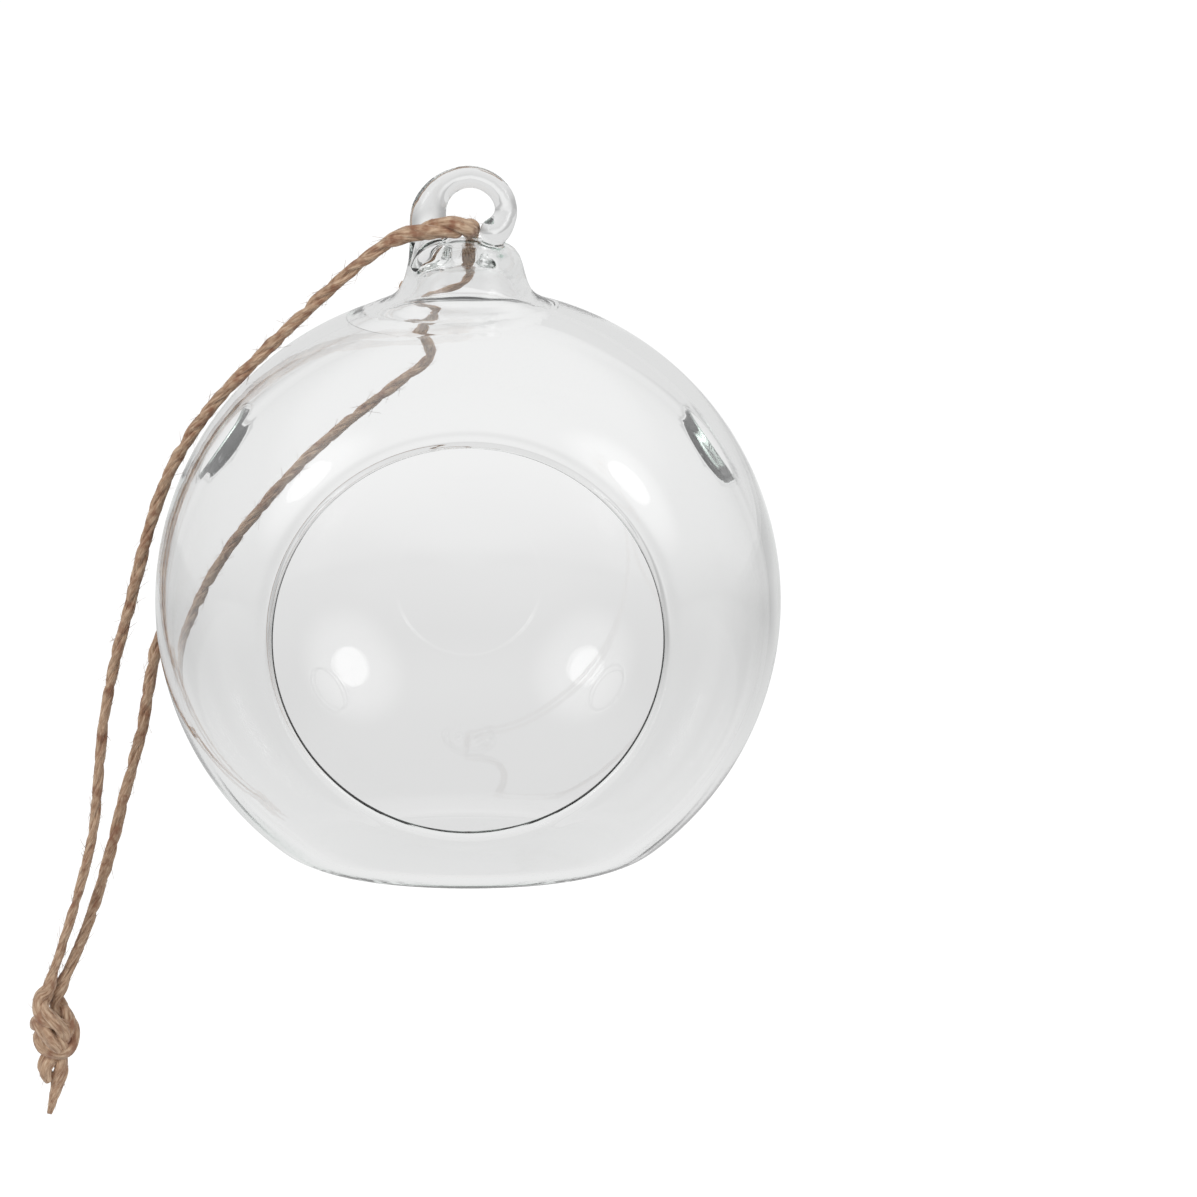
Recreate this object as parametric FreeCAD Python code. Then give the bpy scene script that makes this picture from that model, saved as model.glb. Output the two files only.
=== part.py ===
"""Hanging glass ball candle holder on a jute cord.

Frame: the origin is the centre of the glass eye, +Z is up, and the big round
opening faces -Y. All lengths are in millimetres.
"""
import FreeCAD, Part
import math
import os

V = FreeCAD.Vector
os.makedirs("parts", exist_ok=True)

# Driving dimensions of the glass
BALL_DIAMETER = 80.0
BASE_FLATTENING = 6.6
HOOK_RISE = 16.6
HOOK_TOP = 6.1
WALL = 1.6
BASE_EDGE_RADIUS = 9.0
MOUTH_DIAMETER = 49.0
LIP_SWELL = 0.05
FRONT_START_ANGLE = 61.0
FRONT_ARC_RADIUS = 18.2
VENT_DIAMETER = 10.4
VENT_BEVEL = 0.45
VENT_DIRECTION = (0.80, 0.383, 0.455)
NECK_X = -0.75

# Driving dimensions of the cord
CORD_DIAMETER = 1.5
CORD_STUB = 1.8
BIGHT_RADIUS = 2.2
UPPER_BIGHT = (-54.7, 2.0, -105.3)
LOWER_BIGHT = (-53.3, 2.0, -109.3)
MAIN_TAIL_END = (-55.0, 2.0, -119.0)
SHORT_TAIL_END = (-55.8, 1.2, -114.3)

# Sizes that follow from them
BALL_R = BALL_DIAMETER / 2
BALL_Z = HOOK_TOP - HOOK_RISE - BALL_R
BASE_Z = BALL_Z - BALL_R + BASE_FLATTENING
OVERALL_HEIGHT = HOOK_TOP - BASE_Z
INNER_R = BALL_R - WALL
CORD_R = CORD_DIAMETER / 2
REACH = 2 * BALL_DIAMETER

# Neck: half its width where it meets the ball, then half width, height and facing of its side, shoulder and crown
NECK_WALL = 2.0
NECK_FOOT_RADIUS = 9.4
NECK_SIDE = (7.9, -7.2, 15)
NECK_SHOULDER = (6.9, -5.45, 45)
NECK_CROWN_EDGE = (4.9, -4.55, 78)
NECK_TOP = (0, -4.15, 90)

# Hook centreline with the rod's radius at each station
HOOK_STATIONS = [
    (-5.0, 0.0, -8.0, 2.75),
    (-5.4, 0.0, -3.4, 2.5),
    (-5.1, 0.0, 0.0, 2.3),
    (-3.6, 0.0, 3.05, 1.83),
    (0.1, -0.1, 4.6, 1.5),
    (3.35, -0.4, 3.1, 1.38),
    (4.65, -0.8, 0.1, 1.4),
    (4.2, -1.55, -1.7, 1.48),
]
HOOK_TIP = (3.3, -2.3, -2.55, 1.75)

# Cord corners, from the knot up the front strand, through the eye and down the back
FRONT_STRAND = [
    (-54.75, 1.9, -102.3),
    (-52.4, 2.1, -94.5),
    (-49.5, 1.8, -84.8),
    (-47.8, 1.0, -73.1),
    (-46.2, 0.3, -61.1),
    (-43.0, -0.5, -49.3),
    (-39.5, -1.1, -37.6),
    (-33.1, -2.0, -26.0),
    (-24.5, -2.7, -16.9),
    (-15.6, -3.8, -7.9),
    (-8.6, -4.4, -2.5),
    (-3.6, -4.2, -1.2),
    (0.3, -3.7, -1.3),
]
BACK_STRAND = [
    (-0.3, 1.2, -2.95),
    (-1.0, 7.0, -3.5),
    (-3.6, 13.4, -9.9),
    (-6.3, 22.9, -16.6),
    (-7.4, 31.3, -24.5),
    (-15.6, 34.0, -31.9),
    (-24.9, 32.2, -41.2),
    (-33.0, 25.1, -51.0),
    (-38.2, 14.2, -58.2),
    (-41.1, 4.6, -63.4),
    (-43.5, 2.2, -73.2),
    (-46.5, 2.8, -84.0),
    (-49.3, 2.9, -93.8),
    (-52.75, 2.3, -102.6),
]


def circle_wire(centre, tangent, radius, across=V(0, 1, 0)):
    """A round section square to the tangent, with its start point kept to one side."""
    zdir = V(tangent).normalize()
    xdir = (across - zdir * across.dot(zdir)).normalize()
    ydir = zdir.cross(xdir)
    turn = FreeCAD.Rotation(xdir, ydir, zdir, "ZXY")
    ring = Part.Wire(Part.makeCircle(radius))
    ring.Placement = FreeCAD.Placement(centre, turn)
    return ring


def rounded_path(corners):
    """Straight runs joined by tangent arcs, and the radius of each arc."""
    points = [V(*corner) for corner in corners]
    edges = []
    radii = []
    last = points[0]
    for before, corner, after in zip(points, points[1:], points[2:]):
        back = before - corner
        ahead = after - corner
        shorter = min(back.Length, ahead.Length)
        back.normalize()
        ahead.normalize()
        turn = math.pi - back.getAngle(ahead)
        trim = 0.45 * shorter
        radius = trim / math.tan(turn / 2)
        start = corner + back * trim
        end = corner + ahead * trim
        bisector = (back + ahead).normalize()
        centre = corner + bisector * (radius / math.cos(turn / 2))
        middle = centre - bisector * radius
        edges.append(Part.LineSegment(last, start).toShape())
        edges.append(Part.Arc(start, middle, end).toShape())
        radii.append(radius)
        last = end
    edges.append(Part.LineSegment(last, points[-1]).toShape())
    return Part.Wire(edges), radii


def front_arc(depth):
    """The flattened front at one depth in the wall: its centre, radius and first angle."""
    start_angle = math.radians(FRONT_START_ANGLE)
    centre_r = (BALL_R - FRONT_ARC_RADIUS) * math.sin(start_angle)
    centre_y = -(BALL_R - FRONT_ARC_RADIUS) * math.cos(start_angle)
    return centre_r, centre_y, FRONT_ARC_RADIUS - depth, start_angle


def arc_point(arc, angle):
    centre_r, centre_y, radius, start_angle = arc
    return V(centre_r + radius * math.sin(angle), centre_y - radius * math.cos(angle), 0)


def turned(edges):
    """A profile turned about the mouth's axis and set at the ball's height."""
    body = Part.Face(Part.Wire([edge.toShape() for edge in edges])).revolve(V(0, 0, 0), V(0, 1, 0), 360)
    body.translate(V(0, 0, BALL_Z))
    return body


def turned_ball(depth):
    """The solid ball with its flattened front, taken at one depth in the wall."""
    arc = front_arc(depth)
    start_angle = arc[3]
    end_angle = math.asin((MOUTH_DIAMETER / 2 - arc[0]) / arc[2]) / 2
    back = V(0, BALL_R - depth, 0)
    joint = arc_point(arc, start_angle)
    front = arc_point(arc, end_angle)
    pole = V(0, front.y, 0)
    return turned([
        Part.Arc(back, V(BALL_R - depth, 0, 0), joint),
        Part.Arc(joint, arc_point(arc, (start_angle + end_angle) / 2), front),
        Part.LineSegment(front, pole),
        Part.LineSegment(pole, back),
    ])


def mouth_tool():
    """What is taken out for the mouth: it leaves a melted round lip on the wall's edge."""
    middle = front_arc(WALL / 2)
    lip_radius = WALL / 2 + LIP_SWELL
    lip_angle = math.asin((MOUTH_DIAMETER / 2 + lip_radius - middle[0]) / middle[2])
    lip_centre = arc_point(middle, lip_angle)
    outward = V(math.sin(lip_angle), -math.cos(lip_angle), 0)
    towards_axis = V(-math.cos(lip_angle), -math.sin(lip_angle), 0)
    outer_end = lip_centre + outward * lip_radius
    inner_end = lip_centre - outward * lip_radius
    outside = outer_end + outward * WALL
    inside = inner_end - outward * WALL
    front = V(outside.x, -REACH, 0)
    return turned([
        Part.Arc(outer_end, lip_centre + towards_axis * lip_radius, inner_end),
        Part.LineSegment(inner_end, inside),
        Part.LineSegment(inside, V(0, inside.y, 0)),
        Part.LineSegment(V(0, inside.y, 0), V(0, front.y, 0)),
        Part.LineSegment(V(0, front.y, 0), front),
        Part.LineSegment(front, outside),
        Part.LineSegment(outside, outer_end),
    ])


def half_space_below(z):
    """A block that takes in all of the ball below one height."""
    return Part.makeBox(2 * REACH, 2 * REACH, REACH, V(-REACH, -REACH, z - REACH))


def flat_based(body, base_z, edge_radius):
    """The ball with its base cut flat and the edge of the cut rounded."""
    body = body.cut(half_space_below(base_z))
    rim = []
    for edge in body.Edges:
        box = edge.BoundBox
        if not edge.Degenerated and max(abs(box.ZMin - base_z), abs(box.ZMax - base_z)) < 1e-3:
            rim.append(edge)
    return body.makeFillet(edge_radius, rim)


def neck_solid(inset, ball_radius):
    """The neck on top of the ball, turned from its profile set in by one thickness."""
    def at(radius, height):
        return V(NECK_X + radius, 0, height)

    def set_in(point):
        facing = math.radians(point[2])
        return at(point[0] - inset * math.cos(facing), point[1] - inset * math.sin(facing))

    foot_radius = NECK_FOOT_RADIUS - inset
    foot_z = BALL_Z + math.sqrt(ball_radius ** 2 - foot_radius ** 2)
    foot = at(foot_radius, foot_z)
    low = at(foot_radius, foot_z - WALL / 2)
    low_axis = at(0, foot_z - WALL / 2)
    top = at(0, set_in(NECK_TOP).z)
    outline = Part.Wire([
        Part.LineSegment(low, foot).toShape(),
        Part.LineSegment(foot, set_in(NECK_SIDE)).toShape(),
        Part.Arc(set_in(NECK_SIDE), set_in(NECK_SHOULDER), set_in(NECK_CROWN_EDGE)).toShape(),
        Part.LineSegment(set_in(NECK_CROWN_EDGE), top).toShape(),
        Part.LineSegment(top, low_axis).toShape(),
        Part.LineSegment(low_axis, low).toShape(),
    ])
    return Part.Face(outline).revolve(V(NECK_X, 0, 0), V(0, 0, 1), 360)


def hook_solid():
    """The curled rod, lofted through round sections, with its rounded tip."""
    centres = [V(x, y, z) for x, y, z, r in HOOK_STATIONS]
    centres.append(V(*HOOK_TIP[:3]))
    sections = []
    for i, (x, y, z, r) in enumerate(HOOK_STATIONS):
        before = centres[max(i - 1, 0)]
        tangent = centres[i + 1] - before
        sections.append(circle_wire(centres[i], tangent, r))
    rod = Part.makeLoft(sections, True, False)
    tip = Part.makeSphere(HOOK_TIP[3], V(*HOOK_TIP[:3]))
    last = V(*HOOK_STATIONS[-1][:3])
    bridge = Part.makeCone(HOOK_STATIONS[-1][3] * 0.985, HOOK_TIP[3] * 0.93, (centres[-1] - last).Length,
                           last, centres[-1] - last)
    return rod.fuse([bridge, tip])


def vent_tool(side):
    """What is taken out for one vent hole: a bore with a bevel inside and outside."""
    hole = VENT_DIAMETER / 2
    outside = math.sqrt(BALL_R ** 2 - hole ** 2)
    inside = math.sqrt(INNER_R ** 2 - hole ** 2)
    wide = hole + VENT_BEVEL + WALL / 2
    corners = [
        V(0, 0, inside - WALL / 2),
        V(wide, 0, inside - WALL / 2),
        V(hole, 0, inside + VENT_BEVEL),
        V(hole, 0, outside - VENT_BEVEL),
        V(wide, 0, outside + WALL / 2),
        V(0, 0, outside + WALL / 2),
    ]
    tool = Part.Face(Part.makePolygon(corners + corners[:1])).revolve(V(0, 0, 0), V(0, 0, 1), 360)
    aim = V(side * VENT_DIRECTION[0], VENT_DIRECTION[1], VENT_DIRECTION[2])
    tool.Placement = FreeCAD.Placement(V(0, 0, BALL_Z), FreeCAD.Rotation(V(0, 0, 1), aim))
    return tool


def glass_globe():
    """The whole blown piece as one solid: shell, melted rims, hollow neck and hook."""
    outer = flat_based(turned_ball(0), BASE_Z, BASE_EDGE_RADIUS)
    inner = flat_based(turned_ball(WALL), BASE_Z + WALL, BASE_EDGE_RADIUS - WALL)
    outer = outer.fuse([neck_solid(0, BALL_R), hook_solid()])
    inner = inner.fuse(neck_solid(NECK_WALL, INNER_R))
    body = outer.cut(mouth_tool()).cut(inner)
    for side in (-1, 1):
        body = body.cut(vent_tool(side))
    return body


def hanging_cord():
    """One round cord from the knot through the eye and back to the knot."""
    path, radii = rounded_path(FRONT_STRAND + BACK_STRAND)
    start = V(*FRONT_STRAND[0])
    heading = V(*FRONT_STRAND[1]) - start
    tube = path.makePipeShell([circle_wire(start, heading, CORD_R)], True, False)
    length = path.Length
    print("cord radii", [round(r, 1) for r in radii])
    print("smallest", round(min(radii), 2), "diameters", round(min(radii) / CORD_DIAMETER, 2))
    print("cord length", round(length, 1), "volume ratio", round(tube.Volume / (math.pi * CORD_R ** 2 * length), 4))
    return tube


def cut_tail(start, end, root_radius, tip_radius):
    """A tapering cut end of twine."""
    way = end - start
    return Part.makeCone(root_radius, tip_radius, way.Length, start, way)


def cord_knot():
    """The overhand knot: its two bights, and two short tails."""
    front_end = V(*FRONT_STRAND[0])
    front_way = (front_end - V(*FRONT_STRAND[1])).normalize()
    back_end = V(*BACK_STRAND[-1])
    back_way = (back_end - V(*BACK_STRAND[-2])).normalize()
    upper = V(*UPPER_BIGHT)
    lower = V(*LOWER_BIGHT)
    pieces = [
        Part.makeSphere(BIGHT_RADIUS, upper),
        Part.makeSphere(BIGHT_RADIUS * 1.06, lower),
        Part.makeCone(BIGHT_RADIUS * 0.96, BIGHT_RADIUS, (lower - upper).Length, upper, lower - upper),
        Part.makeCylinder(CORD_R, CORD_STUB, front_end, front_way),
        Part.makeCylinder(CORD_R, CORD_STUB, back_end, back_way),
        cut_tail(lower + V(-0.2, 0, -1.1), V(*MAIN_TAIL_END), CORD_R * 1.5, CORD_R * 0.7),
        cut_tail(lower + V(-1.2, -0.4, -0.9), V(*SHORT_TAIL_END), CORD_R * 1.35, CORD_R),
    ]
    return pieces[0].fuse(pieces[1:])


def hand_over(name, shape):
    """Print what matters about one node and write its STEP file."""
    box = shape.BoundBox
    print(name, "valid", shape.isValid(), "solids", len(shape.Solids), "volume", round(shape.Volume, 1))
    print("   x", round(box.XMin, 2), round(box.XMax, 2), "y", round(box.YMin, 2), round(box.YMax, 2),
          "z", round(box.ZMin, 2), round(box.ZMax, 2))
    shape.exportStep("parts/" + name + ".step")


hand_over("glass_globe", glass_globe())
hand_over("hanging_cord", hanging_cord())
hand_over("cord_knot", cord_knot())
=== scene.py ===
"""A clear blown-glass ball with a round mouth, vents and a curled hook, and its knotted jute cord."""
import math
import random
import bpy
from mathutils import Matrix, Vector, noise


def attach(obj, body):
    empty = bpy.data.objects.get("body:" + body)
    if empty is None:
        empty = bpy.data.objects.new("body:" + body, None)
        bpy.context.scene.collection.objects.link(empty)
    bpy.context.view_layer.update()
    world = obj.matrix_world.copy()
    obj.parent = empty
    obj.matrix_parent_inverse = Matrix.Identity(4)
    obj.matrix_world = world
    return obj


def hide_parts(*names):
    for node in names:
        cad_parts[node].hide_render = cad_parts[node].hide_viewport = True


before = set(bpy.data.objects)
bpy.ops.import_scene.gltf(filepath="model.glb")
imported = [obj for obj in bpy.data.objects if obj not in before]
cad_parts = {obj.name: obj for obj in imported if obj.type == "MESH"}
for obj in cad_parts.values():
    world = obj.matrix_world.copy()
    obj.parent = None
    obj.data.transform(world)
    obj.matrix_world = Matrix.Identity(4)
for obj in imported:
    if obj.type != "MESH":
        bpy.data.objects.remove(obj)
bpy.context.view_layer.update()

MM = 0.001


def mm(*numbers):
    """A point given in millimetres."""
    return Vector(numbers) * MM


# Camera
IMAGE_SIZE = 1197
BALL_COLUMN, BALL_ROW = 468.0, 600.0
PIXELS_PER_MM = 7.82
CAMERA_DISTANCE = 1400
CAMERA_ELEVATION = math.radians(11)
BALL_CENTRE = mm(0, 0, -50.5)

# Glass ball
BALL_RADIUS = 40.0
WALL = 1.6
MOUTH_RADIUS = 24.5
LIP_RADIUS = 0.88
FRONT_ARC_RADIUS = 18.2
FRONT_START = math.radians(61)
FRONT_EASE = 8.0
BASE_DROP = 33.4
BASE_EDGE_RADIUS = 9.0
VENT_RADIUS = 5.2
VENT_BEAD = 0.84
VENT_DIRECTION = Vector((0.83, 0.26, 0.492)).normalized()

# Neck and hook: the neck's radii and heights outside and inside, the hollow at the hook's root, and the hook's
# centre and radius at its stations
NECK_X = -0.35
NECK_OUTLINE = [
    (0, -3.95), (2.4, -4.0), (4.2, -4.15), (5.4, -4.45), (6.3, -5.0), (6.95, -5.9), (7.35, -7.0), (7.7, -8.4),
    (8.05, -9.5), (8.5, -10.4), (9.2, -11.05), (10.2, -11.6), (11.4, -12.07), (12.6, -12.55), (13.6, -12.98),
    (13.6, -13.7), (0, -13.7),
]
NECK_HOLLOW = [
    (0, -6.0), (1.3, -6.02), (2.6, -6.15), (3.7, -6.5), (4.6, -7.05), (5.3, -7.85), (5.85, -8.9), (6.35, -10.0),
    (7.05, -11.1), (8.1, -12.15), (9.5, -12.93), (11.0, -13.53), (12.4, -14.1), (13.6, -14.6), (14.6, -15.08),
    (14.6, -15.9), (0, -15.9),
]
ROOT_X = -4.7
ROOT_HOLLOW = [
    (0, -2.5), (0.6, -2.65), (1.1, -3.2), (1.4, -4.1), (1.55, -5.2), (1.65, -6.3), (1.65, -7.6), (0, -7.6),
]
HOOK_STATIONS = [
    (-4.7, 0, -9.6, 3.1), (-4.9, 0, -7.2, 2.8), (-5.0, 0, -4.7, 2.5), (-5.08, 0, -2.2, 2.4),
    (-4.95, 0, 0.0, 2.25), (-4.2, 0, 1.8, 1.92), (-2.97, 0, 3.12, 1.66), (-1.39, 0, 3.95, 1.5),
    (0.3, -0.1, 4.25, 1.44), (2.03, -0.2, 3.86, 1.42), (3.43, -0.35, 2.98, 1.42), (4.47, -0.6, 1.62, 1.42),
    (4.85, -0.95, 0.0, 1.44), (4.5, -1.4, -1.15, 1.58), (3.95, -1.85, -2.0, 1.78), (3.35, -2.1, -2.55, 1.9),
]

# Cord, in millimetres but for its length. A ply's radius, its distance from the line and its width are shares of the
# twine's radius, its thickness and its own radius
CORD_RADIUS = 0.75
TWINE_STEP = 0.25
PLY_RADIUS = 0.62
PLY_LAY = 0.42
PLY_WIDTH = 1.38
PLY_PITCH = 9.6
PLY_SIDES = 16
FIBRE_LAY = 11
FIBRE_POINTS = 6
FRONT_STRAND = [
    (-53.8, 1.9, -100.9), (-52.5, 2.1, -96.9), (-50.0, 1.9, -88.9), (-48.0, 1.6, -80.9), (-47.4, 1.2, -73.0),
    (-46.6, 0.9, -65.0), (-44.9, 0.4, -57.1), (-42.7, 0.0, -49.2), (-40.8, -0.5, -41.2), (-37.9, -1.2, -32.7),
    (-32.6, -1.8, -24.7), (-25.0, -2.3, -17.0), (-17.5, -3.2, -9.5), (-10.9, -4.5, -3.9), (-7.6, -4.8, -2.3),
    (-4.6, -4.8, -1.7), (-1.7, -4.5, -1.5), (0.1, -3.8, -1.7),
]
BACK_STRAND = [
    (0.4, 0.6, -2.7), (0.6, 5.8, -3.4), (0.5, 8.8, -5.9), (-0.7, 9.6, -8.8), (-3.6, 10.7, -10.7),
    (-7.2, 13.0, -11.4), (-8.4, 17.2, -12.8), (-7.6, 22.2, -16.1), (-5.2, 27.5, -19.1), (-5.2, 31.1, -22.3),
    (-10.2, 33.1, -26.5), (-17.0, 33.9, -32.0), (-24.2, 32.4, -38.3), (-31.0, 27.7, -45.2), (-35.5, 22.0, -50.6),
    (-38.0, 15.8, -54.6), (-40.2, 9.6, -58.4), (-41.0, 6.9, -62.4), (-41.5, 6.2, -66.4), (-42.7, 5.9, -71.4),
    (-44.2, 5.6, -76.8), (-46.9, 4.4, -87.8), (-50.2, 3.2, -97.1), (-52.3, 2.7, -101.3),
]
KNOT_FIRST = [
    (-53.2, 2.0, -99.0), (-53.8, 1.9, -101.0), (-54.2, 1.6, -102.2), (-55.0, 1.3, -103.2), (-55.1, 0.2, -104.5),
    (-53.9, -0.5, -105.5), (-52.3, 0.0, -106.7), (-51.4, 1.4, -108.3), (-52.0, 3.4, -109.1), (-54.0, 4.4, -108.6),
    (-55.3, 3.8, -107.5), (-55.4, 1.8, -106.2), (-54.6, 0.3, -106.9), (-53.4, 0.0, -108.2), (-52.3, 0.8, -109.4),
    (-52.6, 2.4, -110.6), (-53.6, 2.4, -110.9), (-54.3, 1.6, -111.4), (-54.6, 1.3, -112.4), (-54.3, 1.5, -113.3),
    (-53.9, 1.6, -114.0),
]
KNOT_SECOND = [
    (-51.5, 2.8, -99.4), (-52.4, 2.6, -101.4), (-53.0, 2.9, -103.1), (-52.9, 2.9, -104.7), (-52.0, 2.0, -105.5),
    (-51.3, 1.4, -106.8), (-51.2, 1.2, -108.5), (-52.0, 1.2, -109.9), (-53.7, 1.0, -110.0), (-54.8, 1.4, -109.1),
    (-55.1, 2.9, -108.2), (-54.2, 3.6, -108.9), (-53.2, 3.0, -110.2), (-52.8, 2.1, -111.5), (-52.8, 1.9, -113.2),
    (-53.1, 2.0, -115.1), (-53.7, 2.0, -117.0), (-54.1, 2.0, -118.5),
]

# Stage: the floor, the ways to the two lamps, their glow in the glass as edge and middle in degrees and strength, and
# the painted light and shade that the glass sees on the floor, as brightness along Y
FLOOR_HEIGHT = -0.30
LAMP_WAYS = [(-0.70, -0.50, 0.50), (0.70, -0.50, 0.50)]
LAMP_GLOW = [(7.4, 6.6, 2.4), (24, 0, 1.5)]
PAINTED_FLOOR_SHADE = [(-2.6, 0.38), (-0.7, 0.77), (0.2, 0.83), (0.75, 0.75), (1.0, 0.72), (1.6, 0.89)]


def aim_camera():
    """The photograph's view: a long lens a little above the ball, which stands left of the middle."""
    view = bpy.data.cameras.new("view")
    view.sensor_width = 36
    view.lens = 36 * CAMERA_DISTANCE * PIXELS_PER_MM / IMAGE_SIZE
    view.shift_x = (IMAGE_SIZE / 2 - BALL_COLUMN) / IMAGE_SIZE
    view.shift_y = (BALL_ROW - IMAGE_SIZE / 2) / IMAGE_SIZE
    view.clip_start = 0.05
    view.clip_end = 20
    camera = bpy.data.objects.new("camera", view)
    bpy.context.collection.objects.link(camera)
    way = Vector((0, -math.cos(CAMERA_ELEVATION), math.sin(CAMERA_ELEVATION)))
    camera.location = BALL_CENTRE + way * CAMERA_DISTANCE * MM
    camera.rotation_euler = (math.pi / 2 - CAMERA_ELEVATION, 0, 0)
    bpy.context.scene.camera = camera


# Small helpers for modelling

def select_only(*objects):
    """Leave these objects selected and the first one active."""
    if bpy.context.object and bpy.context.object.mode != "OBJECT":
        bpy.ops.object.mode_set(mode="OBJECT")
    bpy.ops.object.select_all(action="DESELECT")
    for one in objects:
        one.select_set(True)
    bpy.context.view_layer.objects.active = objects[0]


def mesh_piece(name, points, edges=(), faces=()):
    mesh = bpy.data.meshes.new(name)
    mesh.from_pydata(points, edges, faces)
    piece = bpy.data.objects.new(name, mesh)
    bpy.context.collection.objects.link(piece)
    return piece


def spun(name, outline, centre, axis, steps):
    """A closed body spun from its outline, with its poles merged and its faces outwards."""
    piece = mesh_piece(name, outline, [(i, i + 1) for i in range(len(outline) - 1)])
    select_only(piece)
    bpy.ops.object.mode_set(mode="EDIT")
    bpy.ops.mesh.select_all(action="SELECT")
    bpy.ops.mesh.spin(steps=steps, angle=2 * math.pi, center=centre, axis=axis)
    bpy.ops.mesh.select_all(action="SELECT")
    bpy.ops.mesh.remove_doubles(threshold=0.00001)
    bpy.ops.mesh.normals_make_consistent(inside=False)
    bpy.ops.object.mode_set(mode="OBJECT")
    return piece


def combine(piece, tool, operation):
    """One exact boolean, after which the tool is gone."""
    select_only(piece)
    step = piece.modifiers.new(operation.lower(), "BOOLEAN")
    step.operation = operation
    step.solver = "MANIFOLD"
    step.object = tool
    bpy.ops.object.modifier_apply(modifier=step.name)
    bpy.data.objects.remove(tool, do_unlink=True)


def through_points(points, steps):
    """A smooth line through the points, as lists of numbers of any length."""
    line = []
    for i in range(len(points) - 1):
        a, b = points[max(i - 1, 0)], points[i]
        c, d = points[i + 1], points[min(i + 2, len(points) - 1)]
        for k in range(steps):
            t = k / steps
            line.append([0.5 * (2 * q + (r - p) * t + (2 * p - 5 * q + 4 * r - s) * t * t
                                + (3 * q - p - 3 * r + s) * t ** 3) for p, q, r, s in zip(a, b, c, d)])
    line.append(list(points[-1]))
    return line


def frames_along(points):
    """Two directions across the line at each point, which don't twist along it."""
    across = []
    side = None
    for i, point in enumerate(points):
        way = (points[min(i + 1, len(points) - 1)] - points[max(i - 1, 0)]).normalized()
        if side is None:
            side = way.orthogonal()
        side = (side - way * side.dot(way)).normalized()
        across.append((side.copy(), way.cross(side)))
    return across


def tube(points, radii, sides, first=0, across=None):
    """Points and faces of one closed tube."""
    corners, faces = [], []
    for point, radius, (u, v) in zip(points, radii, across or frames_along(points)):
        for k in range(sides):
            turn = 2 * math.pi * k / sides
            corners.append(point + (u * math.cos(turn) + v * math.sin(turn)) * radius)
    for i in range(len(points) - 1):
        for k in range(sides):
            a, b = i * sides + k, i * sides + (k + 1) % sides
            faces.append((first + a, first + b, first + b + sides, first + a + sides))
    faces.append([first + k for k in reversed(range(sides))])
    faces.append([first + (len(points) - 1) * sides + k for k in range(sides)])
    return corners, faces


# The cord comes first

def route_line(name, points):
    """The route's spline, read back as points."""
    curve = bpy.data.curves.new(name, "CURVE")
    curve.dimensions = "3D"
    curve.resolution_u = 24
    spline = curve.splines.new("NURBS")
    spline.points.add(len(points) - 1)
    for place, point in zip(spline.points, points):
        place.co = (*mm(*point), 1)
    spline.order_u = 3
    spline.use_endpoint_u = True
    route = bpy.data.objects.new(name, curve)
    bpy.context.collection.objects.link(route)
    mesh = bpy.data.meshes.new_from_object(route)
    line = [vertex.co.copy() for vertex in mesh.vertices]
    bpy.data.objects.remove(route, do_unlink=True)
    bpy.data.meshes.remove(mesh)
    return line


def evenly(line, step):
    """The same line with its points one step apart."""
    spots = [line[0].copy()]
    left = step
    for a, b in zip(line, line[1:]):
        run = (b - a).length
        done = 0
        while run - done >= left:
            done += left
            spots.append(a.lerp(b, done / run))
            left = step
        left -= run - done
    if (spots[-1] - line[-1]).length > step * 0.3:
        spots.append(line[-1].copy())
    return spots


def twine_parts(line, radius, seed, thin_start=1, thin_end=0.35, taper_start=1, taper_end=1, frayed=None):
    """Two flattened plies laid round a line: corners, faces, fibre map, the plies' lines and the run's own draws."""
    draw = random.Random(seed)
    step = (line[1] - line[0]).length
    across = frames_along(line)
    ply_radius, lay_radius, pitch = radius * PLY_RADIUS * MM, radius * PLY_LAY * MM, PLY_PITCH * MM
    corners, faces, fibre_map = [], [], []
    total = step * (len(line) - 1)

    def thickness(i, point):
        keep = min(1, thin_start + (1 - thin_start) * i * step / taper_start,
                   thin_end + (1 - thin_end) * (total - i * step) / taper_end)
        if frayed:
            place, reach, more = frayed
            keep *= 1 + more * max(0, 1 - (point - place).length / reach) ** 0.7
        return keep

    plies = []
    for ply in range(2):
        spots, radii, ways = [], [], []
        for i, point in enumerate(line):
            along = i * step
            wander = 1.3 * noise.noise(Vector((along * 120, ply * 2.3, seed)))
            turn = math.pi * ply + 2 * math.pi * along / pitch + wander
            u, v = across[i]
            out = u * math.cos(turn) + v * math.sin(turn)
            beside = v * math.cos(turn) - u * math.sin(turn)
            keep = thickness(i, point)
            uneven = 1 + 0.30 * noise.noise(Vector((along * 300, ply * 3.1 + 20, seed)))
            spots.append(point + out * lay_radius * keep * uneven)
            uneven = 1 + 0.26 * noise.noise(Vector((along * 480, ply * 5.7 + 50, seed)))
            radii.append(ply_radius * keep * uneven)
            ways.append((out, beside * PLY_WIDTH))
        plies.append((spots, radii))
        new_corners, new_faces = tube(spots, radii, PLY_SIDES, len(corners), ways)
        for i in range(len(spots)):
            for k in range(PLY_SIDES):
                round_ply = (k + i * step / (FIBRE_LAY * MM) * PLY_SIDES) / PLY_SIDES
                fibre_map.append((round_ply, i * step * 1000 + ply * 311))
        corners += new_corners
        faces += new_faces
    return corners, faces, fibre_map, plies, draw


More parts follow.
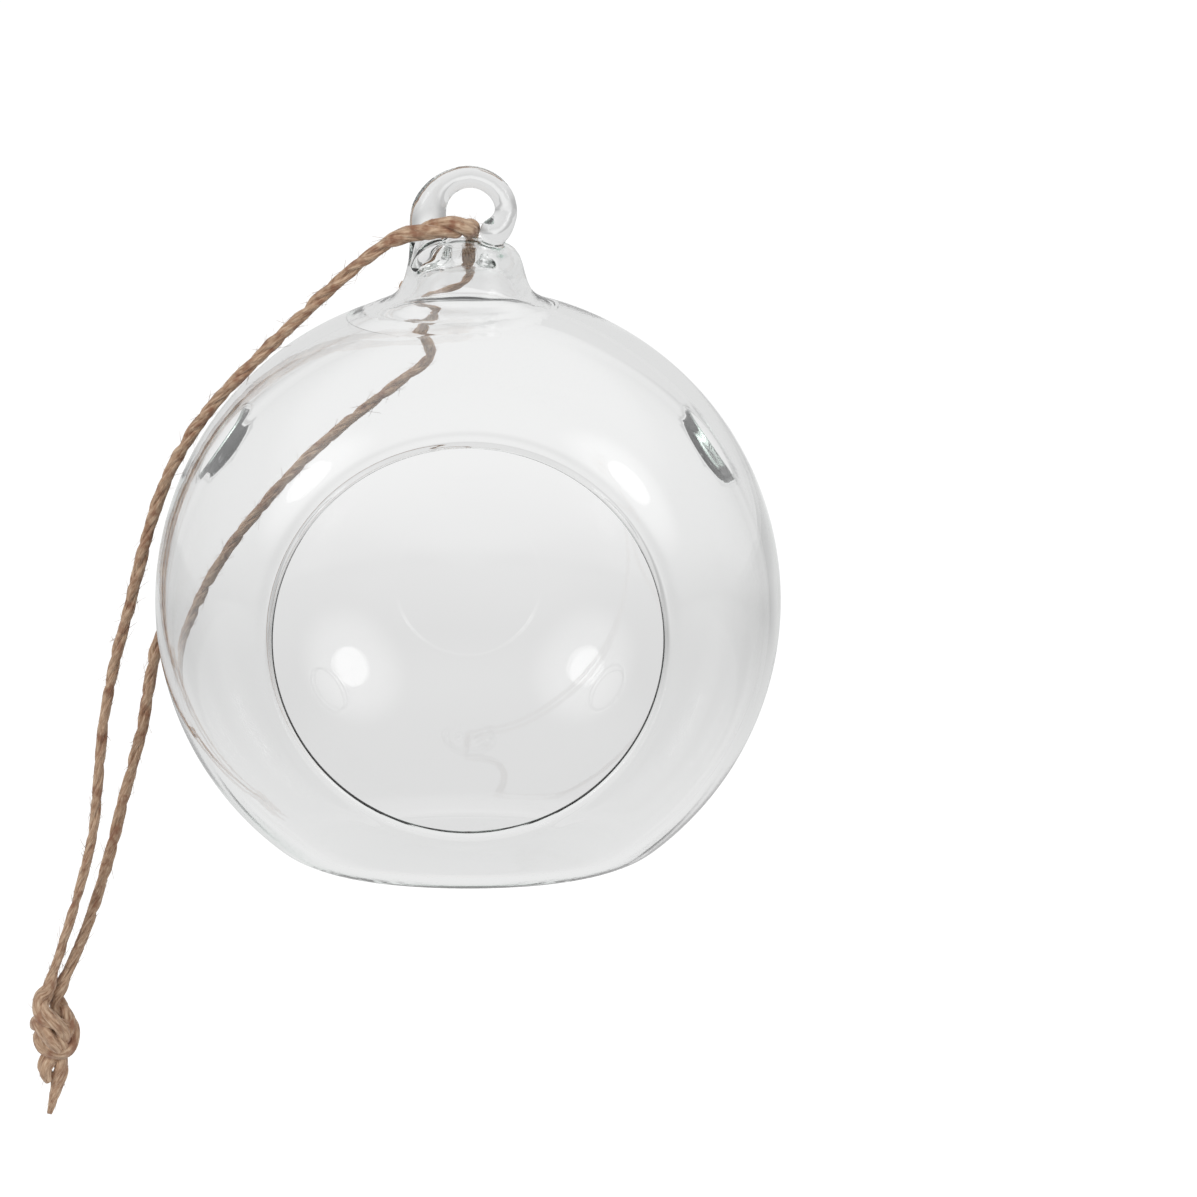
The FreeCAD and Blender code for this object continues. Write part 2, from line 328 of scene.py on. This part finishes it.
def loose_fibres(plies, draw, count, longest, corners, faces, fibre_map):
    """Thin fibres that stand off the plies at random."""
    for one in range(count):
        spots, radii = plies[draw.randrange(len(plies))]
        i = draw.randrange(2, len(spots) - 3)
        way = (spots[i + 2] - spots[i - 2]).normalized()
        out = Vector((draw.gauss(0, 1), draw.gauss(0, 1), draw.gauss(0, 1)))
        out = (out - way * out.dot(way)).normalized()
        place = spots[i] + out * radii[i] * 0.8
        heading = way * draw.choice((-1, 1)) * draw.uniform(0.7, 1.3) + out * draw.uniform(0.25, 0.9)
        heading.normalize()
        bend = Vector((draw.gauss(0, 1), draw.gauss(0, 1), draw.gauss(0, 1))) * 0.28
        reach = longest * draw.uniform(0.25, 1) ** 1.6 * MM
        line = []
        for k in range(FIBRE_POINTS):
            line.append(place.copy())
            heading = (heading + bend / 5 - out * 0.05).normalized()
            place = place + heading * reach / 5
        thick = draw.uniform(0.018, 0.04) * MM
        first = len(corners)
        new_corners, new_faces = tube(line, [thick * (1 - 0.12 * k) for k in range(FIBRE_POINTS)], 3, first)
        corners += new_corners
        faces += new_faces
        fibre_map += [(k % 3 / 3, k * 0.4 + one * 17.7) for k in range(len(new_corners))]


def twine_piece(name, runs, fibres, longest):
    """One mesh from one or more runs of twine."""
    corners, faces, fibre_map = [], [], []
    for run in runs:
        new_corners, new_faces, new_map, plies, draw = twine_parts(**run)
        first = len(corners)
        corners += new_corners
        faces += [[first + k for k in face] for face in new_faces]
        fibre_map += new_map
        share = int(fibres * len(run["line"]) / sum(len(other["line"]) for other in runs))
        loose_fibres(plies, draw, share, longest, corners, faces, fibre_map)
    piece = mesh_piece(name, corners, (), faces)
    lay = piece.data.uv_layers.new(name="fibres")
    for loop in piece.data.loops:
        lay.data[loop.index].uv = fibre_map[loop.vertex_index]
    select_only(piece)
    bpy.ops.object.shade_smooth()
    return piece


# The glass

def front_arc(depth):
    """Centre, radius of the flattened front's curve, taken at one depth in the wall."""
    span = BALL_RADIUS - FRONT_ARC_RADIUS
    return span * math.sin(FRONT_START), span * math.cos(FRONT_START), FRONT_ARC_RADIUS - depth


def shell_outline():
    """From the back pole along the outside, round the mouth's lip and back along the inside."""
    middle_r, middle_y, middle_arc = front_arc(WALL / 2)
    lip_turn = math.asin((MOUTH_RADIUS + LIP_RADIUS - middle_r) / middle_arc)
    lip_r = middle_r + middle_arc * math.sin(lip_turn)
    lip_y = middle_y + middle_arc * math.cos(lip_turn)

    def side(depth):
        """One side of the wall, with an eased change from the ball's curve to the front's."""
        ball = BALL_RADIUS - depth
        arc_r, arc_y, arc = front_arc(depth)
        start = ball * (math.pi - FRONT_START)
        whole = start + arc * (FRONT_START - lip_turn)
        ease = FRONT_EASE * ball / BALL_RADIUS
        step = whole / 100
        points = [[0, -ball]]
        for k in range(100):
            past = (k + 0.5) * step - start
            more = 0 if past < -ease else past if past > ease else (past + ease) ** 2 / (4 * ease)
            turn = math.pi - (k + 0.5) * step / ball - more * (1 / arc - 1 / ball)
            points.append([points[-1][0] - math.cos(turn) * step, points[-1][1] + math.sin(turn) * step])
        miss_r = arc_r + arc * math.sin(lip_turn) - points[-1][0]
        miss_y = arc_y + arc * math.cos(lip_turn) - points[-1][1]
        for k, point in enumerate(points):
            share = max(0, k * step - start + ease) / (whole - start + ease)
            point[0] += miss_r * share
            point[1] += miss_y * share
        return points[:-1]

    lip = []
    for k in range(15):
        turn = lip_turn - math.pi * k / 14
        lip.append((lip_r + LIP_RADIUS * math.sin(turn), lip_y + LIP_RADIUS * math.cos(turn)))
    outline = side(0) + lip + side(WALL)[::-1]
    return [BALL_CENTRE + mm(abs(r), -y, 0) for r, y in outline]


def surface_reach(direction, depth):
    """How far the wall's surface is from the ball's centre in one direction."""
    turn = math.acos(max(-1, min(1, -direction.y)))
    if turn >= FRONT_START:
        return BALL_RADIUS - depth
    arc_r, arc_y, arc = front_arc(depth)
    along = arc_r * math.sin(turn) + arc_y * math.cos(turn)
    return along + math.sqrt(max(0, along ** 2 - arc_r ** 2 - arc_y ** 2 + arc ** 2))


def settled(drop, depth):
    """The height under the ball's centre after the soft glass has settled on a flat plate."""
    edge = BASE_EDGE_RADIUS - depth
    foot_up = BASE_DROP - BASE_EDGE_RADIUS
    foot_out = math.sqrt((BALL_RADIUS - BASE_EDGE_RADIUS) ** 2 - foot_up ** 2)
    radius = BALL_RADIUS - depth
    starts = foot_up * radius / (BALL_RADIUS - BASE_EDGE_RADIUS)
    if drop <= starts:
        return drop
    out = math.sqrt(max(0, radius ** 2 - drop ** 2))
    if out <= foot_out:
        return BASE_DROP - depth
    return foot_up + math.sqrt(max(0, edge ** 2 - (out - foot_out) ** 2))


def blown_shell():
    """The ball's wall, with its flat base and the slight unevenness of blown glass inside."""
    shell = spun("glass_globe_shell", shell_outline(), BALL_CENTRE, (0, 1, 0), 256)
    for vertex in shell.data.vertices:
        place = (vertex.co - BALL_CENTRE) / MM
        direction = place.normalized()
        is_inside = place.length < surface_reach(direction, WALL / 2)
        place.z = -settled(-place.z, WALL if is_inside else 0)
        if is_inside:
            place += direction * 0.10 * noise.noise(place * 0.05 + Vector((3, 8, 1)))
        vertex.co = BALL_CENTRE + place * MM
    return shell


def neck_and_hook():
    """The neck and the curled rod melted into one."""
    neck = spun("neck", [mm(NECK_X + r, 0, z) for r, z in NECK_OUTLINE], mm(NECK_X, 0, 0), (0, 0, 1), 96)
    line = through_points(HOOK_STATIONS, 14)
    way = (Vector(line[-1][:3]) - Vector(line[-3][:3])).normalized()
    end = line[-1]
    for k in range(1, 9):
        turn = math.pi / 2 * k / 9
        spot = Vector(end[:3]) + way * end[3] * math.sin(turn)
        line.append([*spot, end[3] * math.cos(turn)])
    corners, faces = tube([mm(*point[:3]) for point in line], [point[3] * MM for point in line], 40)
    hook = mesh_piece("hook", corners, (), faces)
    combine(neck, hook, "UNION")
    select_only(neck)
    melt = neck.modifiers.new("melt", "REMESH")
    melt.mode = "VOXEL"
    melt.voxel_size = 0.22 * MM
    bpy.ops.object.modifier_apply(modifier=melt.name)
    low = neck.vertex_groups.new(name="low")
    for vertex in neck.data.vertices:
        x, _, z = vertex.co / MM
        low.add([vertex.index], max(0, min(1, (-1.5 - z) / 2)) * max(0, min(1, (2.5 - x) / 3)), "REPLACE")
    for group, times in (("", 14), ("low", 60)):
        relax = neck.modifiers.new("relax", "SMOOTH")
        relax.factor = 0.5
        relax.iterations = times
        relax.vertex_group = group
        bpy.ops.object.modifier_apply(modifier=relax.name)
    return neck


def vent_tool(side, name, outline):
    """A body spun round the axis of one vent hole, from the outline's radius and depth in the wall."""
    tool = spun(name, [mm(r, 0, z) for r, z in outline], (0, 0, 0), (0, 0, 1), 96)
    aim = Vector((side * VENT_DIRECTION.x, VENT_DIRECTION.y, VENT_DIRECTION.z))
    turn = Vector((0, 0, 1)).rotation_difference(aim).to_matrix().to_4x4()
    tool.data.transform(Matrix.Translation(BALL_CENTRE) @ turn)
    return tool


def glass_globe():
    """The whole blown piece."""
    globe = blown_shell()
    combine(globe, neck_and_hook(), "UNION")
    hollow = spun("hollow", [mm(NECK_X + r, 0, z) for r, z in NECK_HOLLOW], mm(NECK_X, 0, 0), (0, 0, 1), 96)
    combine(globe, hollow, "DIFFERENCE")
    root = spun("root_hollow", [mm(ROOT_X + r, 0, z) for r, z in ROOT_HOLLOW], mm(ROOT_X, 0, 0), (0, 0, 1), 64)
    combine(globe, root, "DIFFERENCE")
    ring = VENT_RADIUS + VENT_BEAD
    height = math.sqrt((BALL_RADIUS - WALL / 2) ** 2 - ring ** 2)
    bore = [(0, height - 4), (ring, height - 4), (ring, height + 4), (0, height + 4)]
    bead = []
    for k in range(21):
        turn = 2 * math.pi * k / 20
        bead.append((ring + VENT_BEAD * math.cos(turn), height + VENT_BEAD * math.sin(turn)))
    for side in (-1, 1):
        combine(globe, vent_tool(side, "bore", bore), "DIFFERENCE")
        combine(globe, vent_tool(side, "bead", bead), "UNION")
    globe.name = "glass_globe_blown"
    globe.data.materials.clear()
    select_only(globe)
    bpy.ops.object.shade_smooth_by_angle(angle=math.radians(32))
    return globe


# Materials

def new_material(name):
    material = bpy.data.materials.new(name)
    material.use_nodes = True
    nodes = material.node_tree.nodes
    return material, nodes, material.node_tree.links, nodes["Principled BSDF"]


def noise_field(nodes, links, place, scale, detail):
    field = nodes.new("ShaderNodeTexNoise")
    field.inputs["Scale"].default_value = scale
    field.inputs["Detail"].default_value = detail
    links.new(place, field.inputs["Vector"])
    return field


def spread(nodes, links, value, start, end, low, high, smooth=False):
    """A value between two ends, made one between two others."""
    span = nodes.new("ShaderNodeMapRange")
    if smooth:
        span.interpolation_type = "SMOOTHSTEP"
    for name, number in (("From Min", start), ("From Max", end), ("To Min", low), ("To Max", high)):
        span.inputs[name].default_value = number
    links.new(value, span.inputs["Value"])
    return span.outputs["Result"]


def bumped(nodes, links, height, strength, distance, skin):
    bump = nodes.new("ShaderNodeBump")
    bump.inputs["Strength"].default_value = strength
    bump.inputs["Distance"].default_value = distance
    links.new(height, bump.inputs["Height"])
    links.new(bump.outputs["Normal"], skin.inputs["Normal"])


def blown_glass():
    """Clear glass, a little green where it is thick, with faint ripples and dust."""
    material, nodes, links, skin = new_material("clear_blown_glass")
    skin.inputs["Base Color"].default_value = (1, 1, 1, 1)
    skin.inputs["Transmission Weight"].default_value = 1
    skin.inputs["IOR"].default_value = 1.5
    place = nodes.new("ShaderNodeTexCoord")
    dust = noise_field(nodes, links, place.outputs["Object"], 900, 4)
    links.new(spread(nodes, links, dust.outputs["Fac"], 0.62, 0.80, 0.0, 0.12), skin.inputs["Roughness"])
    ripple = noise_field(nodes, links, place.outputs["Object"], 60, 1)
    bumped(nodes, links, ripple.outputs["Fac"], 0.05, 0.0004, skin)
    soak = nodes.new("ShaderNodeVolumeAbsorption")
    soak.inputs["Color"].default_value = (0.62, 0.84, 0.74, 1)
    soak.inputs["Density"].default_value = 5
    links.new(soak.outputs["Volume"], nodes["Material Output"].inputs["Volume"])
    return material


def jute():
    """Natural jute: streaks along the fibres, darker between them."""
    material, nodes, links, skin = new_material("natural_jute")
    place = nodes.new("ShaderNodeUVMap")
    place.uv_map = "fibres"
    stretch = nodes.new("ShaderNodeMapping")
    stretch.inputs["Scale"].default_value = (9, 0.35, 1)
    links.new(place.outputs["UV"], stretch.inputs["Vector"])
    streaks = noise_field(nodes, links, stretch.outputs["Vector"], 1.6, 5)
    streaks.inputs["Roughness"].default_value = 0.62
    shades = nodes.new("ShaderNodeValToRGB")
    shades.color_ramp.elements[0].position = 0.30
    shades.color_ramp.elements[0].color = (0.22, 0.10, 0.05, 1)
    shades.color_ramp.elements[1].position = 0.72
    shades.color_ramp.elements[1].color = (0.83, 0.65, 0.47, 1)
    middle = shades.color_ramp.elements.new(0.5)
    middle.color = (0.55, 0.365, 0.24, 1)
    links.new(streaks.outputs["Fac"], shades.inputs["Fac"])
    body = nodes.new("ShaderNodeTexCoord")
    blotches = noise_field(nodes, links, body.outputs["Object"], 620, 3)
    stained = nodes.new("ShaderNodeMix")
    stained.data_type = "RGBA"
    links.new(spread(nodes, links, blotches.outputs["Fac"], 0.50, 0.68, 0, 0.75), stained.inputs["Factor"])
    links.new(shades.outputs["Color"], stained.inputs["A"])
    stained.inputs["B"].default_value = (0.27, 0.105, 0.055, 1)
    links.new(stained.outputs["Result"], skin.inputs["Base Color"])
    skin.inputs["Roughness"].default_value = 0.8
    skin.inputs["Sheen Weight"].default_value = 0.25
    bumped(nodes, links, streaks.outputs["Fac"], 0.8, 0.00012, skin)
    return material


# Stage

def seen_through(tree, lit, shown, glass_level):
    """Mix of a lit shader with the plain level that the camera, and the glass, see."""
    nodes, links = tree.nodes, tree.links
    path = nodes.new("ShaderNodeLightPath")
    camera_mix = nodes.new("ShaderNodeMixShader")
    glass_mix = nodes.new("ShaderNodeMixShader")
    either = nodes.new("ShaderNodeMath")
    either.operation = "MAXIMUM"
    links.new(path.outputs["Is Transmission Ray"], either.inputs[0])
    links.new(path.outputs["Is Glossy Ray"], either.inputs[1])
    links.new(either.outputs[0], glass_mix.inputs["Fac"])
    links.new(lit, glass_mix.inputs[1])
    links.new(glass_level, glass_mix.inputs[2])
    links.new(path.outputs["Is Camera Ray"], camera_mix.inputs["Fac"])
    links.new(glass_mix.outputs[0], camera_mix.inputs[1])
    links.new(shown, camera_mix.inputs[2])
    return camera_mix.outputs[0]


def plain_floor():
    """A white table far below, which keeps what shadow reaches it; the glass sees painted light and shade on it."""
    bpy.ops.object.select_all(action="DESELECT")
    bpy.ops.mesh.primitive_plane_add(size=12, location=(0, 0, FLOOR_HEIGHT))
    floor = bpy.context.object
    floor.name = "floor"
    material, nodes, links, skin = new_material("white_table")
    nodes.remove(skin)
    lit = nodes.new("ShaderNodeBsdfDiffuse")
    lit.inputs["Color"].default_value = (0.8, 0.8, 0.8, 1)
    glow = nodes.new("ShaderNodeEmission")
    glow.inputs["Strength"].default_value = 0.6
    shown = nodes.new("ShaderNodeAddShader")
    links.new(lit.outputs[0], shown.inputs[0])
    links.new(glow.outputs[0], shown.inputs[1])
    # Painted light and shade for the glass: the floor brighter or darker along Y, and darker towards the sides
    place = nodes.new("ShaderNodeTexCoord")
    parts = nodes.new("ShaderNodeSeparateXYZ")
    links.new(place.outputs["Object"], parts.inputs[0])
    fade = spread(nodes, links, parts.outputs["Y"], PAINTED_FLOOR_SHADE[0][0], PAINTED_FLOOR_SHADE[-1][0], 0, 1)
    painted_shade_ramp = nodes.new("ShaderNodeValToRGB")
    painted_shade_ramp.color_ramp.interpolation = "EASE"
    reach = PAINTED_FLOOR_SHADE[-1][0] - PAINTED_FLOOR_SHADE[0][0]
    stops = painted_shade_ramp.color_ramp.elements
    stops[0].color = (PAINTED_FLOOR_SHADE[0][1],) * 3 + (1,)
    stops[1].color = (PAINTED_FLOOR_SHADE[-1][1],) * 3 + (1,)
    for place_y, level in PAINTED_FLOOR_SHADE[1:-1]:
        stops.new((place_y - PAINTED_FLOOR_SHADE[0][0]) / reach).color = (level,) * 3 + (1,)
    links.new(fade, painted_shade_ramp.inputs["Fac"])
    aside = nodes.new("ShaderNodeMath")
    aside.operation = "ABSOLUTE"
    links.new(parts.outputs["X"], aside.inputs[0])
    painted_side_shade = spread(nodes, links, aside.outputs[0], 0.1, 0.9, 1, 0.62, smooth=True)
    # The floor's painted light and shade, glowing for the glass though it is no lamp
    behind = nodes.new("ShaderNodeEmission")
    links.new(painted_shade_ramp.outputs["Color"], behind.inputs["Color"])
    links.new(painted_side_shade, behind.inputs["Strength"])
    out = seen_through(material.node_tree, lit.outputs[0], shown.outputs[0], behind.outputs[0])
    links.new(out, nodes["Material Output"].inputs["Surface"])
    floor.data.materials.append(material)


def joined(nodes, links, operation, level, more):
    """Two values put together, or the second alone where there is no first."""
    if level is None:
        return more
    both = nodes.new("ShaderNodeMath")
    both.operation = operation
    links.new(level, both.inputs[0])
    links.new(more, both.inputs[1])
    return both.outputs[0]


def soft_room():
    """A pale room, brighter behind the object than round the camera."""
    world = bpy.data.worlds.new("room")
    bpy.context.scene.world = world
    world.use_nodes = True
    nodes, links = world.node_tree.nodes, world.node_tree.links
    nodes.remove(nodes["Background"])
    place = nodes.new("ShaderNodeTexCoord")
    parts = nodes.new("ShaderNodeSeparateXYZ")
    links.new(place.outputs["Generated"], parts.inputs[0])
    level = None
    for part, start, end, low, high in (("Y", -0.35, 0.75, 0.36, 0.93), ("Z", 0.30, 0.75, 0.3, 1.05)):
        fade = spread(nodes, links, parts.outputs[part], start, end, low, high, smooth=True)
        level = joined(nodes, links, "MAXIMUM", level, fade)
    for way in LAMP_WAYS:
        towards = nodes.new("ShaderNodeVectorMath")
        towards.operation = "DOT_PRODUCT"
        towards.inputs[1].default_value = Vector(way).normalized()
        links.new(place.outputs["Generated"], towards.inputs[0])
        for edge, middle, strength in LAMP_GLOW:
            edge_dot, middle_dot = (math.cos(math.radians(angle)) for angle in (edge, middle))
            glow = spread(nodes, links, towards.outputs["Value"], edge_dot, middle_dot, 0, strength, smooth=True)
            level = joined(nodes, links, "ADD", level, glow)
    room = nodes.new("ShaderNodeBackground")
    links.new(level, room.inputs["Strength"])
    white = nodes.new("ShaderNodeBackground")
    white.inputs["Color"].default_value = (1, 1, 1, 1)
    lit = nodes.new("ShaderNodeBackground")
    lit.inputs["Strength"].default_value = 0.7
    out = seen_through(world.node_tree, lit.outputs[0], white.outputs[0], room.outputs[0])
    links.new(out, nodes["World Output"].inputs["Surface"])


def round_lamp(name, way, distance, radius, power):
    lamp = bpy.data.lights.new(name, "AREA")
    lamp.shape = "DISK"
    lamp.size = 2 * radius
    lamp.energy = power
    holder = bpy.data.objects.new(name, lamp)
    holder.visible_glossy = False
    holder.visible_transmission = False
    bpy.context.collection.objects.link(holder)
    way = Vector(way).normalized()
    holder.location = BALL_CENTRE + way * distance
    holder.rotation_euler = way.to_track_quat("Z", "Y").to_euler()


# Making

aim_camera()
loop = route_line("cord_route", FRONT_STRAND + BACK_STRAND)
spaced = evenly(loop, TWINE_STEP * MM)
cord = twine_piece("hanging_cord_twine", [
    dict(line=spaced, radius=1.04 * CORD_RADIUS, seed=3, thin_start=0.72, thin_end=0.88,
         taper_start=65 * MM, taper_end=60 * MM, frayed=(mm(-2.6, -4.0, -1.8), 8.5 * MM, 0.75)),
], 2000, 2.3)

globe = glass_globe()

first, second = (evenly(route_line("knot_route", run), TWINE_STEP * MM) for run in (KNOT_FIRST, KNOT_SECOND))
knot = twine_piece("cord_knot_twine", [
    dict(line=first, radius=1.12, seed=5, thin_start=0.42, taper_start=4.5 * MM, thin_end=0.6, taper_end=2 * MM),
    dict(line=second, radius=1.12, seed=9, thin_start=0.42, taper_start=4.5 * MM, thin_end=0.3, taper_end=6 * MM),
], 620, 1.5)

glass = blown_glass()
globe.data.materials.append(glass)
fibre = jute()
cord.data.materials.append(fibre)
knot.data.materials.append(fibre)

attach(globe, "root")
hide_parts("glass_globe")
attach(knot, "root")
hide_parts("cord_knot")
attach(cord, "root")
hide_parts("hanging_cord")

plain_floor()
soft_room()
for side, way in zip(("left", "right"), LAMP_WAYS):
    round_lamp(side + "_lamp", way, 1.2, 0.17, 3.6)
bpy.context.scene.view_settings.view_transform = "Standard"
light = bpy.context.scene.cycles
light.max_bounces = light.transmission_bounces = light.glossy_bounces = 32
